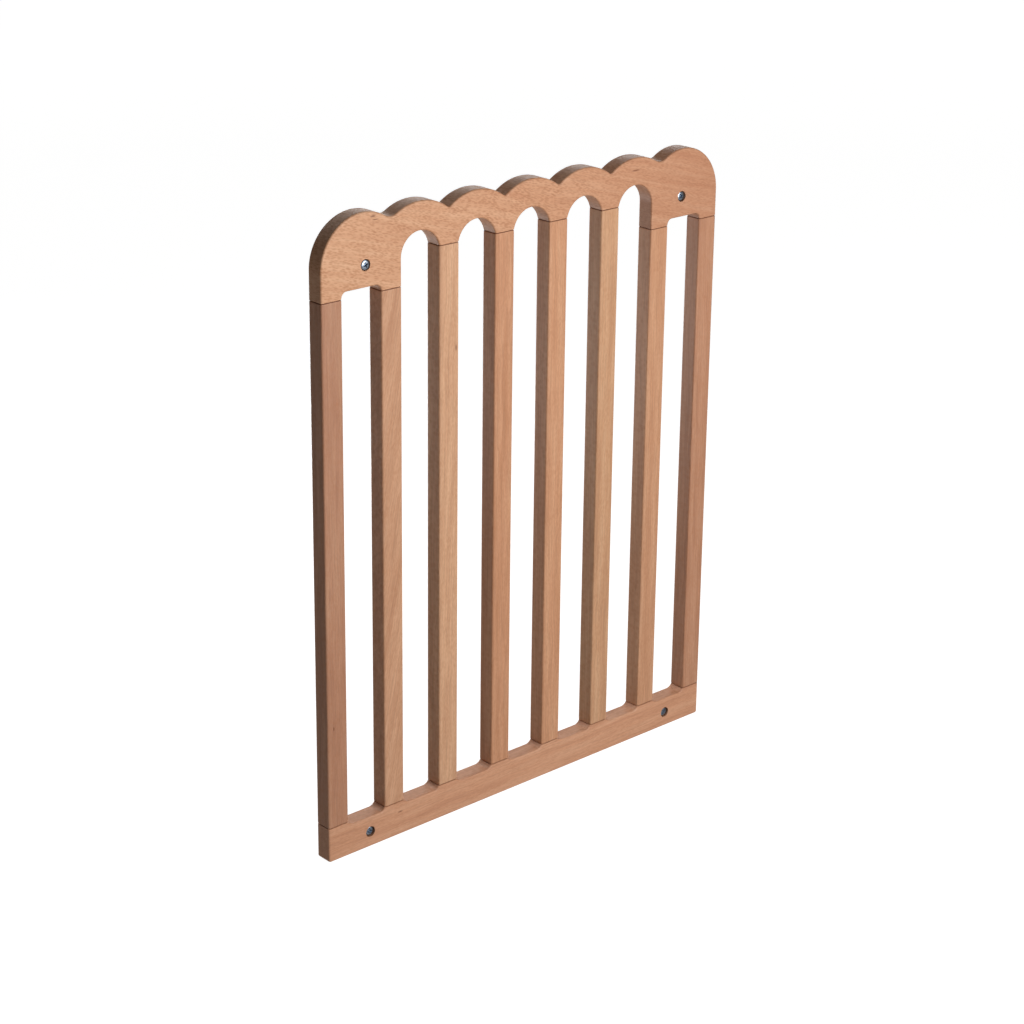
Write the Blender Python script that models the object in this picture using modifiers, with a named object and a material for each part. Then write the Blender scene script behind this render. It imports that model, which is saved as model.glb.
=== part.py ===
"""Slatted beech barrier panel: a scalloped top rail, eight flat slats and a straight bottom rail,
dowelled together, with four pan-head screws and washers in counterbores near the corners.

Metres, +Z up. X runs along the panel, the front faces -Y, and the origin is the middle of the
underside of the bottom rail."""

from math import acos, ceil, cos, hypot, pi, radians, sin, sqrt

import bmesh
import bpy
from mathutils import Matrix

# Driving dimensions
PANEL_WIDTH = 0.600
PANEL_HEIGHT = 0.750
THICKNESS = 0.022
SLAT_COUNT = 8
SLAT_WIDTH = 0.028
EDGE_RADIUS = 0.0022
GAP = 0.0003

# Joint planes between rails and slats
BOTTOM_JOINT_Z = 0.042
END_JOINT_Z = 0.660
ARCH_JOINT_Z = 0.696
SHORT_SLATS = (0, 1, 6, 7)

# Top rail
END_LOBE_RADIUS = 0.058
LOBE_RADIUS = 0.067
OUTER_VALLEY_RADIUS = 0.015
VALLEY_RADIUS = 0.003
ARCH_CROWN_Z = 0.717
END_BAY_TOP_Z = 0.667
END_BAY_RADIUS = 0.007

# Bottom rail
BOTTOM_BAY_Z = 0.038
SEAT_RADIUS = 0.0095
CORNER_RADIUS = 0.0028

# Dowels
DOWEL_RADIUS = 0.003
DOWEL_LENGTH = 0.030
DOWEL_SPACING = 0.014
DOWEL_SIDES = 12
DOWEL_CHAMFER = 0.0007

# Screws, washers and their holes
SCREW_X = 0.240
TOP_SCREW_Z = PANEL_HEIGHT - END_LOBE_RADIUS
BOTTOM_SCREW_Z = 0.019
COUNTERBORE_RADIUS = 0.0065
COUNTERBORE_DEPTH = 0.0074
CLEARANCE_RADIUS = 0.0035
HEAD_RADIUS = 0.006
HEAD_HEIGHT = 0.0036
SHANK_RADIUS = 0.003
SHANK_LENGTH = 0.040
TIP_CHAMFER = 0.0008
RECESS_SPAN = 0.0070
RECESS_WIDTH = 0.0017
RECESS_DEPTH = 0.0026
RECESS_TAPER = 0.45
WASHER_RADIUS = 0.006
WASHER_HOLE_RADIUS = 0.0033
WASHER_THICKNESS = 0.0016
TURNED_STEPS = 24

# Where each screw sits: name, side, height, distance drawn out of its seat, turn of the cross
SCREWS = (
    ("top_left", -1, TOP_SCREW_Z, 0.0020, radians(20)),
    ("top_right", 1, TOP_SCREW_Z, 0.0006, radians(38)),
    ("bottom_left", -1, BOTTOM_SCREW_Z, 0.0, radians(8)),
    ("bottom_right", 1, BOTTOM_SCREW_Z, 0.0, radians(52)),
)

PITCH = (PANEL_WIDTH - SLAT_WIDTH) / (SLAT_COUNT - 1)
BAY = PITCH - SLAT_WIDTH
BAY_COUNT = SLAT_COUNT - 1
LEFT_X = -PANEL_WIDTH / 2
RIGHT_X = PANEL_WIDTH / 2
FRONT_Y = -THICKNESS / 2
ARC_STEP = radians(10)
EDGE_SEGMENTS = 2


def slat_left(index):
    """X of a slat's left edge."""
    return LEFT_X + index * PITCH


def slat_right(index):
    """X of a slat's right edge."""
    return slat_left(index) + SLAT_WIDTH


def bay_centre(index):
    """X of the middle of the opening to the right of a slat."""
    return slat_right(index) + BAY / 2


def top_joint(index):
    """Height of the joint between a slat and the top rail."""
    return END_JOINT_Z if index in SHORT_SLATS else ARCH_JOINT_Z


# Scene and collections


def clear_scene():
    for obj in list(bpy.data.objects):
        bpy.data.objects.remove(obj, do_unlink=True)


def new_collection(name):
    collection = bpy.data.collections.new(name)
    bpy.context.scene.collection.children.link(collection)
    return collection


def take_active(name, collection):
    """Names the primitive just added and moves it to its collection."""
    obj = bpy.context.object
    obj.name = name
    obj.data.name = name
    for owner in list(obj.users_collection):
        owner.objects.unlink(obj)
    collection.objects.link(obj)
    return obj


def new_object(name, data, collection):
    obj = bpy.data.objects.new(name, data)
    collection.objects.link(obj)
    return obj


def make_material(name, colour, roughness, metallic=0.0):
    material = bpy.data.materials.new(name)
    material.use_nodes = True
    shader = material.node_tree.nodes["Principled BSDF"]
    shader.inputs["Base Color"].default_value = (*colour, 1.0)
    shader.inputs["Roughness"].default_value = roughness
    shader.inputs["Metallic"].default_value = metallic
    return material


def beech(name, tone=1.0):
    """Oiled steamed beech; tone lightens or darkens one board against its neighbours."""
    return make_material(name, [tone * c for c in (0.60, 0.34, 0.19)], 0.45)


def bright_zinc(name):
    return make_material(name, (0.72, 0.74, 0.77), 0.28, 1.0)


# Modifiers


def cut(obj, cutter):
    modifier = obj.modifiers.new("cut_" + cutter.name, "BOOLEAN")
    modifier.operation = "DIFFERENCE"
    modifier.solver = "EXACT"
    modifier.object = cutter


def round_marked_edges(obj, radius):
    modifier = obj.modifiers.new("rounded_edges", "BEVEL")
    modifier.limit_method = "WEIGHT"
    modifier.width = radius
    modifier.segments = EDGE_SEGMENTS


def mark_edges(mesh, chosen):
    """Gives a full bevel weight to the edges for which chosen(edge) is true."""
    form = bmesh.new()
    form.from_mesh(mesh)
    layer = form.edges.layers.float.new("bevel_weight_edge")
    for edge in form.edges:
        edge[layer] = 1.0 if chosen(edge) else 0.0
    form.to_mesh(mesh)
    form.free()


def make_cutter(obj):
    obj.hide_render = True
    obj.display_type = "WIRE"
    return obj


# Outlines, as lists of (x, z) points


def arc(centre, radius, start, end):
    """Points along an arc, both ends included; angles in radians from +X towards +Z."""
    steps = max(2, ceil(abs(end - start) / ARC_STEP))
    angles = [start + (end - start) * i / steps for i in range(steps + 1)]
    return [(centre[0] + radius * cos(a), centre[1] + radius * sin(a)) for a in angles]


def angle_of(point, centre):
    """Direction of a point seen from a centre, from 0 to a full turn."""
    dx, dz = point[0] - centre[0], point[1] - centre[1]
    angle = acos(dx / hypot(dx, dz))
    return angle if dz >= 0 else 2 * pi - angle


def valley_centre(left, right, radius):
    """Centre of the hollow arc that lies on two neighbouring lobes, each (centre, radius)."""
    (c1, r1), (c2, r2) = left, right
    a, b = r1 + radius, r2 + radius
    span = hypot(c2[0] - c1[0], c2[1] - c1[1])
    along = (a * a - b * b + span * span) / (2 * span)
    rise = sqrt(a * a - along * along)
    ux, uz = (c2[0] - c1[0]) / span, (c2[1] - c1[1]) / span
    return (c1[0] + along * ux - rise * uz, c1[1] + along * uz + rise * ux)


def scalloped_edge():
    """The top of the top rail, left to right: seven lobes joined by hollow valleys."""
    end_z = PANEL_HEIGHT - END_LOBE_RADIUS
    lobes = [((LEFT_X + END_LOBE_RADIUS, end_z), END_LOBE_RADIUS)]
    lobes += [((bay_centre(i), PANEL_HEIGHT - LOBE_RADIUS), LOBE_RADIUS) for i in range(1, BAY_COUNT - 1)]
    lobes += [((RIGHT_X - END_LOBE_RADIUS, end_z), END_LOBE_RADIUS)]
    points = []
    start = pi
    for i, (centre, radius) in enumerate(lobes):
        points += arc(centre, radius, start, pi / 2)
        if i == len(lobes) - 1:
            points += arc(centre, radius, pi / 2, 0.0)[1:]
            break
        outer = i in (0, len(lobes) - 2)
        hollow = OUTER_VALLEY_RADIUS if outer else VALLEY_RADIUS
        valley = valley_centre(lobes[i], lobes[i + 1], hollow)
        leave = angle_of(valley, centre)
        points += arc(centre, radius, pi / 2, leave)[1:]
        valley_end = angle_of(lobes[i + 1][0], valley)
        points += arc(valley, hollow, leave + pi, valley_end)[1:-1]
        start = angle_of(valley, lobes[i + 1][0])
    return points


def jamb_to_crown(edge_x, centre_x, joint_z):
    """Half an arch, from the slat joint up to the crown. Beside a long slat the arc ends on the joint;
    beside a short one it runs into an upright wall."""
    half = abs(edge_x - centre_x)
    side = 1 if edge_x > centre_x else -1
    if joint_z == ARCH_JOINT_Z:
        rise = ARCH_CROWN_Z - ARCH_JOINT_Z
        radius = (half * half + rise * rise) / (2 * rise)
    else:
        radius = half
    centre = (centre_x, ARCH_CROWN_Z - radius)
    spring = acos(half / radius)
    if side > 0:
        points = arc(centre, radius, spring, pi / 2)
    else:
        points = arc(centre, radius, pi - spring, pi / 2)
    if joint_z != ARCH_JOINT_Z:
        points.insert(0, (edge_x, joint_z))
    return points


def bay_top(index):
    """The underside of the top rail across one bay, right to left."""
    left, right = slat_right(index), slat_left(index + 1)
    if index in (0, BAY_COUNT - 1):
        z = END_BAY_TOP_Z - END_BAY_RADIUS
        r = END_BAY_RADIUS
        return arc((right - r, z), r, 0.0, pi / 2) + arc((left + r, z), r, pi / 2, pi)
    centre = bay_centre(index)
    rising = jamb_to_crown(right, centre, top_joint(index + 1))
    falling = jamb_to_crown(left, centre, top_joint(index))
    return rising + falling[::-1][1:]


def top_rail_outline():
    points = [(LEFT_X, END_JOINT_Z)] + scalloped_edge() + [(RIGHT_X, END_JOINT_Z)]
    for index in reversed(range(BAY_COUNT)):
        points += bay_top(index)
    return points


def bay_floor(index):
    """The top of the bottom rail across one bay, left to right: a flat between two raised seats."""
    left, right = slat_right(index), slat_left(index + 1)
    height = BOTTOM_JOINT_Z - BOTTOM_BAY_Z
    sweep = acos((SEAT_RADIUS - height) / SEAT_RADIUS)
    reach = SEAT_RADIUS * sin(sweep)
    z = BOTTOM_BAY_Z + SEAT_RADIUS
    down = arc((left + reach, z), SEAT_RADIUS, -pi / 2 - sweep, -pi / 2)
    up = arc((right - reach, z), SEAT_RADIUS, -pi / 2, -pi / 2 + sweep)
    return down + up


def bottom_rail_outline():
    r = CORNER_RADIUS
    points = [(LEFT_X, BOTTOM_JOINT_Z)]
    for index in range(BAY_COUNT):
        points += bay_floor(index)
    points.append((RIGHT_X, BOTTOM_JOINT_Z))
    points += arc((RIGHT_X - r, r), r, 0.0, -pi / 2)
    points += arc((LEFT_X + r, r), r, -pi / 2, -pi)
    return points


def board_from_outline(name, outline, joint_heights, collection):
    """A board of the panel's thickness from an (x, z) outline, its front and rear edges marked for
    rounding except round the joint faces at the given heights."""
    curve = bpy.data.curves.new(name, "CURVE")
    curve.dimensions = "2D"
    curve.fill_mode = "BOTH"
    curve.extrude = THICKNESS / 2
    spline = curve.splines.new("POLY")
    spline.points.add(len(outline) - 1)
    for point, (x, z) in zip(spline.points, outline):
        point.co = (x, z, 0.0, 1.0)
    spline.use_cyclic_u = True
    flat = new_object(name + "_outline", curve, collection)
    flat.rotation_euler = (pi / 2, 0.0, 0.0)
    bpy.context.view_layer.update()
    depsgraph = bpy.context.evaluated_depsgraph_get()
    mesh = bpy.data.meshes.new_from_object(flat.evaluated_get(depsgraph))
    board = new_object(name, mesh, collection)
    board.matrix_world = flat.matrix_world
    bpy.data.objects.remove(flat, do_unlink=True)

    form = bmesh.new()
    form.from_mesh(mesh)
    bmesh.ops.remove_doubles(form, verts=form.verts, dist=GAP / 10)
    for side in (1, -1):
        cap = [face for face in form.faces if face.normal.z * side > 0.9]
        bmesh.ops.dissolve_faces(form, faces=cap)
    form.to_mesh(mesh)
    form.free()

    def is_cap(face):
        return abs(face.normal.z) > 0.9

    def is_joint(face):
        level = min(abs(face.calc_center_median().y - z) for z in joint_heights)
        return level < GAP and abs(face.normal.y) > 0.9

    def on_outline(edge):
        faces = edge.link_faces
        return any(map(is_cap, faces)) and not any(map(is_joint, faces))

    mark_edges(mesh, on_outline)
    round_marked_edges(board, EDGE_RADIUS)
    return board


def make_slat(name, index, collection):
    """A flat bar with its four long edges rounded, cut a hair short at both joints."""
    low, high = BOTTOM_JOINT_Z + GAP, top_joint(index) - GAP
    bpy.ops.mesh.primitive_cube_add(size=1.0)
    slat = take_active(name, collection)
    slat.data.transform(Matrix.Diagonal((SLAT_WIDTH, THICKNESS, high - low, 1.0)))
    slat.location = (slat_left(index) + SLAT_WIDTH / 2, 0.0, (low + high) / 2)
    mark_edges(slat.data, lambda edge: abs(edge.verts[0].co.z - edge.verts[1].co.z) > THICKNESS)
    round_marked_edges(slat, EDGE_RADIUS)
    return slat


# Dowels


def dowel_places(index, joint_z):
    """Centres of the two dowels in one slat joint."""
    middle = slat_left(index) + SLAT_WIDTH / 2
    return [(middle + side * DOWEL_SPACING / 2, 0.0, joint_z) for side in (-1, 1)]


def make_dowel(name, place, collection):
    bpy.ops.mesh.primitive_cylinder_add(vertices=DOWEL_SIDES, radius=DOWEL_RADIUS, depth=DOWEL_LENGTH)
    dowel = take_active(name, collection)
    dowel.location = place
    chamfer = dowel.modifiers.new("chamfered_ends", "BEVEL")
    chamfer.limit_method = "ANGLE"
    chamfer.angle_limit = radians(60)
    chamfer.width = DOWEL_CHAMFER
    chamfer.segments = 1
    return dowel


def cylinder_cutters(name, places, radius, depth, sides, axis, collection):
    """Equal cylinders at several places, as one cutter; axis is Y or Z."""
    turn = Matrix.Rotation(pi / 2, 4, "X") if axis == "Y" else Matrix.Identity(4)
    form = bmesh.new()
    for place in places:
        bmesh.ops.create_cone(
            form,
            cap_ends=True,
            segments=sides,
            radius1=radius,
            radius2=radius,
            depth=depth,
            matrix=Matrix.Translation(place) @ turn,
        )
    mesh = bpy.data.meshes.new(name)
    form.to_mesh(mesh)
    form.free()
    return make_cutter(new_object(name, mesh, collection))


# Screws and washers


def turned(name, profile, closed, collection):
    """A solid of revolution about Z from (radius, z) points, which run down the outer side."""
    mesh = bpy.data.meshes.new(name)
    points = [(r, 0.0, z) for r, z in profile]
    edges = [(i, i + 1) for i in range(len(points) - 1)]
    if closed:
        edges.append((len(points) - 1, 0))
    mesh.from_pydata(points, edges, [])
    obj = new_object(name, mesh, collection)
    modifier = obj.modifiers.new("turned", "SCREW")
    modifier.steps = TURNED_STEPS
    modifier.render_steps = TURNED_STEPS
    modifier.use_merge_vertices = True
    modifier.merge_threshold = GAP / 10
    return obj


def screw_profile():
    """Pan head and plain shank, the seating face of the head at z = 0."""
    crown = 0.78 * HEAD_RADIUS
    head = [(0.0, HEAD_HEIGHT), (0.4 * HEAD_RADIUS, 0.985 * HEAD_HEIGHT), (crown, 0.90 * HEAD_HEIGHT)]
    head += [(0.94 * HEAD_RADIUS, 0.73 * HEAD_HEIGHT), (HEAD_RADIUS, 0.50 * HEAD_HEIGHT)]
    head += [(0.985 * HEAD_RADIUS, 0.0), (SHANK_RADIUS, 0.0)]
    tip = [(SHANK_RADIUS, TIP_CHAMFER - SHANK_LENGTH), (SHANK_RADIUS - TIP_CHAMFER, -SHANK_LENGTH)]
    return head + tip + [(0.0, -SHANK_LENGTH)]


def make_recess_cutter(name, screw, collection):
    """Two crossed bars that narrow downwards, riding on the screw's head."""
    above = 0.001
    depth = RECESS_DEPTH + above
    bars = []
    for i, turn in enumerate((0.0, pi / 2)):
        bpy.ops.mesh.primitive_cube_add(size=1.0)
        bar = take_active(f"{name}_{i}", collection)
        bar.data.transform(Matrix.Diagonal((RECESS_SPAN, RECESS_WIDTH, depth, 1.0)))
        for vertex in bar.data.vertices:
            if vertex.co.z < 0:
                vertex.co.x *= RECESS_TAPER
                vertex.co.y *= RECESS_TAPER
        bar.parent = screw
        bar.location = (0.0, 0.0, HEAD_HEIGHT + above - depth / 2)
        bar.rotation_euler = (0.0, 0.0, turn)
        bars.append(make_cutter(bar))
    return bars


def make_screw_set(name, side, z, drawn, turn, parts, cutters):
    """A washer on the counterbore's floor and a pan-head screw on the washer, both drawn out of
    their seat by the same distance. The origins lie on the screw's axis."""
    floor_y = FRONT_Y + COUNTERBORE_DEPTH
    washer_y = floor_y - GAP - drawn
    head_y = washer_y - WASHER_THICKNESS - GAP

    inner, outer = WASHER_HOLE_RADIUS, WASHER_RADIUS
    ring = [(inner, WASHER_THICKNESS), (outer, WASHER_THICKNESS), (outer, 0.0), (inner, 0.0)]
    washer = turned("washer_" + name, ring, True, parts)
    washer.location = (side * SCREW_X, washer_y, z)
    washer.rotation_euler = (pi / 2, 0.0, 0.0)

    screw = turned("screw_" + name, screw_profile(), False, parts)
    screw.location = (side * SCREW_X, head_y, z)
    screw.rotation_euler = (pi / 2, turn, 0.0)
    for bar in make_recess_cutter("recess_" + name, screw, cutters):
        cut(screw, bar)
    for obj in (washer, screw):
        obj.data.materials.append(bright_zinc(obj.name))


def main():
    clear_scene()
    parts = new_collection("barrier_panel")
    cutters = new_collection("cutters")

    top_levels = (END_JOINT_Z, ARCH_JOINT_Z)
    top_rail = board_from_outline("top_rail", top_rail_outline(), top_levels, parts)
    bottom_rail = board_from_outline("bottom_rail", bottom_rail_outline(), (BOTTOM_JOINT_Z,), parts)
    top_rail.data.materials.append(beech("beech_top_rail"))
    bottom_rail.data.materials.append(beech("beech_bottom_rail", 0.88))

    dowel_hole = (DOWEL_RADIUS + GAP, DOWEL_LENGTH + 2 * GAP, DOWEL_SIDES)
    top_places = [dowel_places(i, top_joint(i)) for i in range(SLAT_COUNT)]
    bottom_places = [dowel_places(i, BOTTOM_JOINT_Z) for i in range(SLAT_COUNT)]
    top_holes = cylinder_cutters("top_dowel_holes", sum(top_places, []), *dowel_hole, "Z", cutters)
    bottom_holes = cylinder_cutters("bottom_dowel_holes", sum(bottom_places, []), *dowel_hole, "Z", cutters)

    for rail, holes, z in ((top_rail, top_holes, TOP_SCREW_Z), (bottom_rail, bottom_holes, BOTTOM_SCREW_Z)):
        mouths = [(side * SCREW_X, FRONT_Y, z) for side in (-1, 1)]
        middles = [(x, 0.0, z) for x, _, z in mouths]
        bore = (COUNTERBORE_RADIUS, 2 * COUNTERBORE_DEPTH, TURNED_STEPS)
        clearance = (CLEARANCE_RADIUS, 2 * THICKNESS, TURNED_STEPS)
        cut(rail, holes)
        cut(rail, cylinder_cutters(rail.name + "_counterbores", mouths, *bore, "Y", cutters))
        cut(rail, cylinder_cutters(rail.name + "_clearance", middles, *clearance, "Y", cutters))

    for i in range(SLAT_COUNT):
        slat = make_slat(f"slat_{i + 1}", i, parts)
        slat.data.materials.append(beech(f"beech_slat_{i + 1}", 0.94 + 0.04 * (i % 3)))
        cut(slat, top_holes)
        cut(slat, bottom_holes)
        for end, places in (("top", top_places[i]), ("bottom", bottom_places[i])):
            for letter, place in zip("ab", places):
                dowel = make_dowel(f"dowel_{end}_{i + 1}{letter}", place, parts)
                dowel.data.materials.append(beech(dowel.name, 1.05))

    for name, side, z, drawn, turn in SCREWS:
        make_screw_set(name, side, z, drawn, turn, parts, cutters)


main()
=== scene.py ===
"""Looks for the slatted beech barrier panel: moulded rails, rounded slats, fluted dowels, threaded
pan-head screws and washers, each built round its CAD node, with beech and bright zinc finishes.

Metres, +Z up. X runs along the panel and the front faces -Y."""

from math import acos, cos, hypot, pi, radians, sin, sqrt

import bmesh
import bpy
import numpy as np
from mathutils import Matrix, Vector


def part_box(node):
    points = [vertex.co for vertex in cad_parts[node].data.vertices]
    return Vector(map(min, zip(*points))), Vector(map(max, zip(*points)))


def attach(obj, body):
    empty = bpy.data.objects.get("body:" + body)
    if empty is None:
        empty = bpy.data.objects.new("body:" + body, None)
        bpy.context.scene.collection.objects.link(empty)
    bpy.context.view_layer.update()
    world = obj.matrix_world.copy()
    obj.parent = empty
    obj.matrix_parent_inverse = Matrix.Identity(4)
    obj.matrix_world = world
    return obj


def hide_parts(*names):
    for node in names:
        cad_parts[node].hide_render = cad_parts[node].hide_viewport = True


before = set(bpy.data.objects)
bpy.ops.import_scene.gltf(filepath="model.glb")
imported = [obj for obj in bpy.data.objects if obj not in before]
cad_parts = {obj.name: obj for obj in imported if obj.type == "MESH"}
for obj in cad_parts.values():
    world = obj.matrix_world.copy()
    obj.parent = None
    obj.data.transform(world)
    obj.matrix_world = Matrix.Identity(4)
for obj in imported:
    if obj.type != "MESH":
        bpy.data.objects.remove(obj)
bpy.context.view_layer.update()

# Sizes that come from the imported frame
SLATS = 8
BAYS = SLATS - 1
SLAT_BOXES = [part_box(f"slat_{i + 1}") for i in range(SLATS)]
TOP_LOW, TOP_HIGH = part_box("top_rail")
BASE_LOW, BASE_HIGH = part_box("bottom_rail")
LEFT_X, RIGHT_X = TOP_LOW[0], TOP_HIGH[0]
FRONT_Y, REAR_Y = TOP_LOW[1], TOP_HIGH[1]
CROWN_Z = TOP_HIGH[2]
END_JOINT_Z = TOP_LOW[2]
SEAT_Z = BASE_HIGH[2]
JOINT_GAP = SLAT_BOXES[0][0][2] - SEAT_Z
TOP_JOINTS = [box[1][2] + JOINT_GAP for box in SLAT_BOXES]
ARCH_JOINT_Z = max(TOP_JOINTS)
CORNERS = ("top_left", "top_right", "bottom_left", "bottom_right")

# Shapes of the boards, in metres: moulded long edges, the rounding of slat ends, broken square edges
EDGE_RADIUS = 0.0022
JOINT_EASING = 0.0017
EASING = 0.0006
END_LOBE_RADIUS = 0.058
LOBE_RADIUS = 0.067
OUTER_VALLEY_RADIUS = 0.015
VALLEY_RADIUS = 0.003
ARCH_CROWN_Z = 0.717
END_BAY_TOP_Z = 0.667
END_BAY_RADIUS = 0.007
BAY_FLOOR_Z = 0.038
SEAT_RADIUS = 0.0095
CORNER_RADIUS = 0.0028
PATH_SPACING = 0.0022
PATH_TURN = radians(5)

# Holes
COUNTERBORE_RADIUS = 0.0065
COUNTERBORE_DEPTH = 0.0074
CLEARANCE_RADIUS = 0.0035
DOWEL_HOLE_RADIUS = 0.0033

# Dowels
DOWEL_RADIUS = 0.003
DOWEL_CHAMFER = 0.0007
FLUTES = 14
FLUTE_DEPTH = 0.00016

# Screws and washers, and each screw's turn in degrees
HEAD_RADIUS = 0.006
HEAD_HEIGHT = 0.0036
HEAD_DOMING = 0.53
SHANK_RADIUS = 0.003
TIP_CHAMFER = 0.0008
THREAD_PITCH = 0.001
THREAD_DEPTH = 0.00058
RECESS_SPAN = 0.0070
RECESS_WIDTH = 0.0017
RECESS_DEPTH = 0.0026
RECESS_TAPER = 0.45
WASHER_RADIUS = 0.006
WASHER_HOLE_RADIUS = 0.0033
WASHER_EASING = 0.00025
SCREW_TURNS = {"top_left": 20, "top_right": 38, "bottom_left": 8, "bottom_right": 52}


# Paths in the panel's plane: arrays of (x, z) points, travelled clockwise as seen from the front


def arc(centre, radius, start, end):
    """Points at centre + radius * (cos a, sin a), a running evenly from start to end."""
    sweep = abs(end - start)
    steps = max(3, int(np.ceil(max(sweep / PATH_TURN, sweep * radius / PATH_SPACING))))
    angles = np.linspace(start, end, steps + 1)
    return np.stack([centre[0] + radius * np.cos(angles), centre[1] + radius * np.sin(angles)], axis=1)


def join(*pieces):
    """One run from several touching ones, with the repeated points left out."""
    points = np.concatenate([np.atleast_2d(piece) for piece in pieces])
    steps = np.linalg.norm(np.diff(points, axis=0), axis=1)
    return points[np.concatenate([[True], steps > 1e-7])]


def bearing(point, centre):
    """Direction of a point seen from a centre, from 0 to a full turn."""
    dx, dz = point[0] - centre[0], point[1] - centre[1]
    angle = acos(dx / hypot(dx, dz))
    return angle if dz >= 0 else 2 * pi - angle


def valley_centre(left, right, radius):
    """Centre of a circle of the given radius that rests on two neighbouring circles, above them."""
    (c1, r1), (c2, r2) = left, right
    a, b = r1 + radius, r2 + radius
    span = hypot(c2[0] - c1[0], c2[1] - c1[1])
    along = (a * a - b * b + span * span) / (2 * span)
    rise = sqrt(a * a - along * along)
    ux, uz = (c2[0] - c1[0]) / span, (c2[1] - c1[1]) / span
    return (c1[0] + along * ux - rise * uz, c1[1] + along * uz + rise * ux)


def scalloped_run():
    """The rail's top edge from left joint to right joint: arcs of seven lobes with hollow arcs between."""
    end_z = CROWN_Z - END_LOBE_RADIUS
    lobes = [((LEFT_X + END_LOBE_RADIUS, end_z), END_LOBE_RADIUS)]
    for i in range(1, BAYS - 1):
        middle = (SLAT_BOXES[i][1][0] + SLAT_BOXES[i + 1][0][0]) / 2
        lobes.append(((middle, CROWN_Z - LOBE_RADIUS), LOBE_RADIUS))
    lobes.append(((RIGHT_X - END_LOBE_RADIUS, end_z), END_LOBE_RADIUS))
    pieces = [(LEFT_X, END_JOINT_Z)]
    start = pi
    for i in range(BAYS - 1):
        hollow = OUTER_VALLEY_RADIUS if i in (0, BAYS - 2) else VALLEY_RADIUS
        valley = valley_centre(lobes[i], lobes[i + 1], hollow)
        leave = bearing(valley, lobes[i][0])
        pieces.append(arc(*lobes[i], start, leave))
        pieces.append(arc(valley, hollow, leave + pi, bearing(lobes[i + 1][0], valley)))
        start = bearing(valley, lobes[i + 1][0])
    pieces.append(arc(*lobes[-1], start, 0.0))
    return join(*pieces, (RIGHT_X, END_JOINT_Z))


def half_arch(edge_x, middle_x, joint_z):
    """From a slat joint up to the crown. The arc's radius is (w*w + h*h) / 2h beside a long slat,
    for half width w and rise h, and w itself beside a short one, where it meets an upright wall."""
    half = abs(edge_x - middle_x)
    beside_long = joint_z > ARCH_JOINT_Z - JOINT_GAP
    rise = ARCH_CROWN_Z - ARCH_JOINT_Z
    radius = (half * half + rise * rise) / (2 * rise) if beside_long else half
    spring = acos(half / radius)
    start = spring if edge_x > middle_x else pi - spring
    curve = arc((middle_x, ARCH_CROWN_Z - radius), radius, start, pi / 2)
    return curve if beside_long else join((edge_x, joint_z), curve)


def top_bay_run(index):
    """The rail's underside across one bay, right to left."""
    left, right = SLAT_BOXES[index][1][0], SLAT_BOXES[index + 1][0][0]
    if index in (0, BAYS - 1):
        z, r = END_BAY_TOP_Z - END_BAY_RADIUS, END_BAY_RADIUS
        return join(arc((right - r, z), r, 0.0, pi / 2), arc((left + r, z), r, pi / 2, pi))
    middle = (left + right) / 2
    rising = half_arch(right, middle, TOP_JOINTS[index + 1])
    falling = half_arch(left, middle, TOP_JOINTS[index])
    return join(rising, falling[::-1])


def base_bay_run(index):
    """The bottom rail's upper edge across one bay, left to right: a flat with a hollow up to each seat."""
    left, right = SLAT_BOXES[index][1][0], SLAT_BOXES[index + 1][0][0]
    sweep = acos(1 - (SEAT_Z - BAY_FLOOR_Z) / SEAT_RADIUS)
    reach = SEAT_RADIUS * sin(sweep)
    z = BAY_FLOOR_Z + SEAT_RADIUS
    down = arc((left + reach, z), SEAT_RADIUS, -pi / 2 - sweep, -pi / 2)
    up = arc((right - reach, z), SEAT_RADIUS, -pi / 2, -pi / 2 + sweep)
    return join(down, up)


def base_outer_run():
    """Down the right end of the bottom rail, along its underside and up the left end."""
    r = CORNER_RADIUS
    right = arc((RIGHT_X - r, BASE_LOW[2] + r), r, 0.0, -pi / 2)
    left = arc((LEFT_X + r, BASE_LOW[2] + r), r, -pi / 2, -pi)
    return join((RIGHT_X, SEAT_Z), right, left, (LEFT_X, SEAT_Z))


# Meshes


def grid_mesh(name, points, wrap_rows=False, wrap_columns=True, caps=True):
    """A surface through a (rows, columns, 3) array of points, wrapped where asked, its first and last
    rows closed by flat caps."""
    rows, columns = points.shape[:2]
    index = np.arange(rows * columns).reshape(rows, columns)
    ends = [index[0], index[-1]] if caps else []
    if wrap_columns:
        index = np.concatenate([index, index[:, :1]], axis=1)
    if wrap_rows:
        index = np.concatenate([index, index[:1]], axis=0)
    corners = (index[:-1, :-1], index[1:, :-1], index[1:, 1:], index[:-1, 1:])
    quads = np.stack(corners, axis=-1).reshape(-1, 4)
    faces = quads.tolist() + [end.tolist() for end in ends]
    mesh = bpy.data.meshes.new(name)
    mesh.from_pydata(points.reshape(-1, 3).tolist(), [], faces)
    form = bmesh.new()
    form.from_mesh(mesh)
    bmesh.ops.remove_doubles(form, verts=form.verts, dist=2e-6)
    bmesh.ops.recalc_face_normals(form, faces=form.faces)
    form.to_mesh(mesh)
    form.free()
    obj = bpy.data.objects.new(name, mesh)
    bpy.context.scene.collection.objects.link(obj)
    return obj


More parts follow.
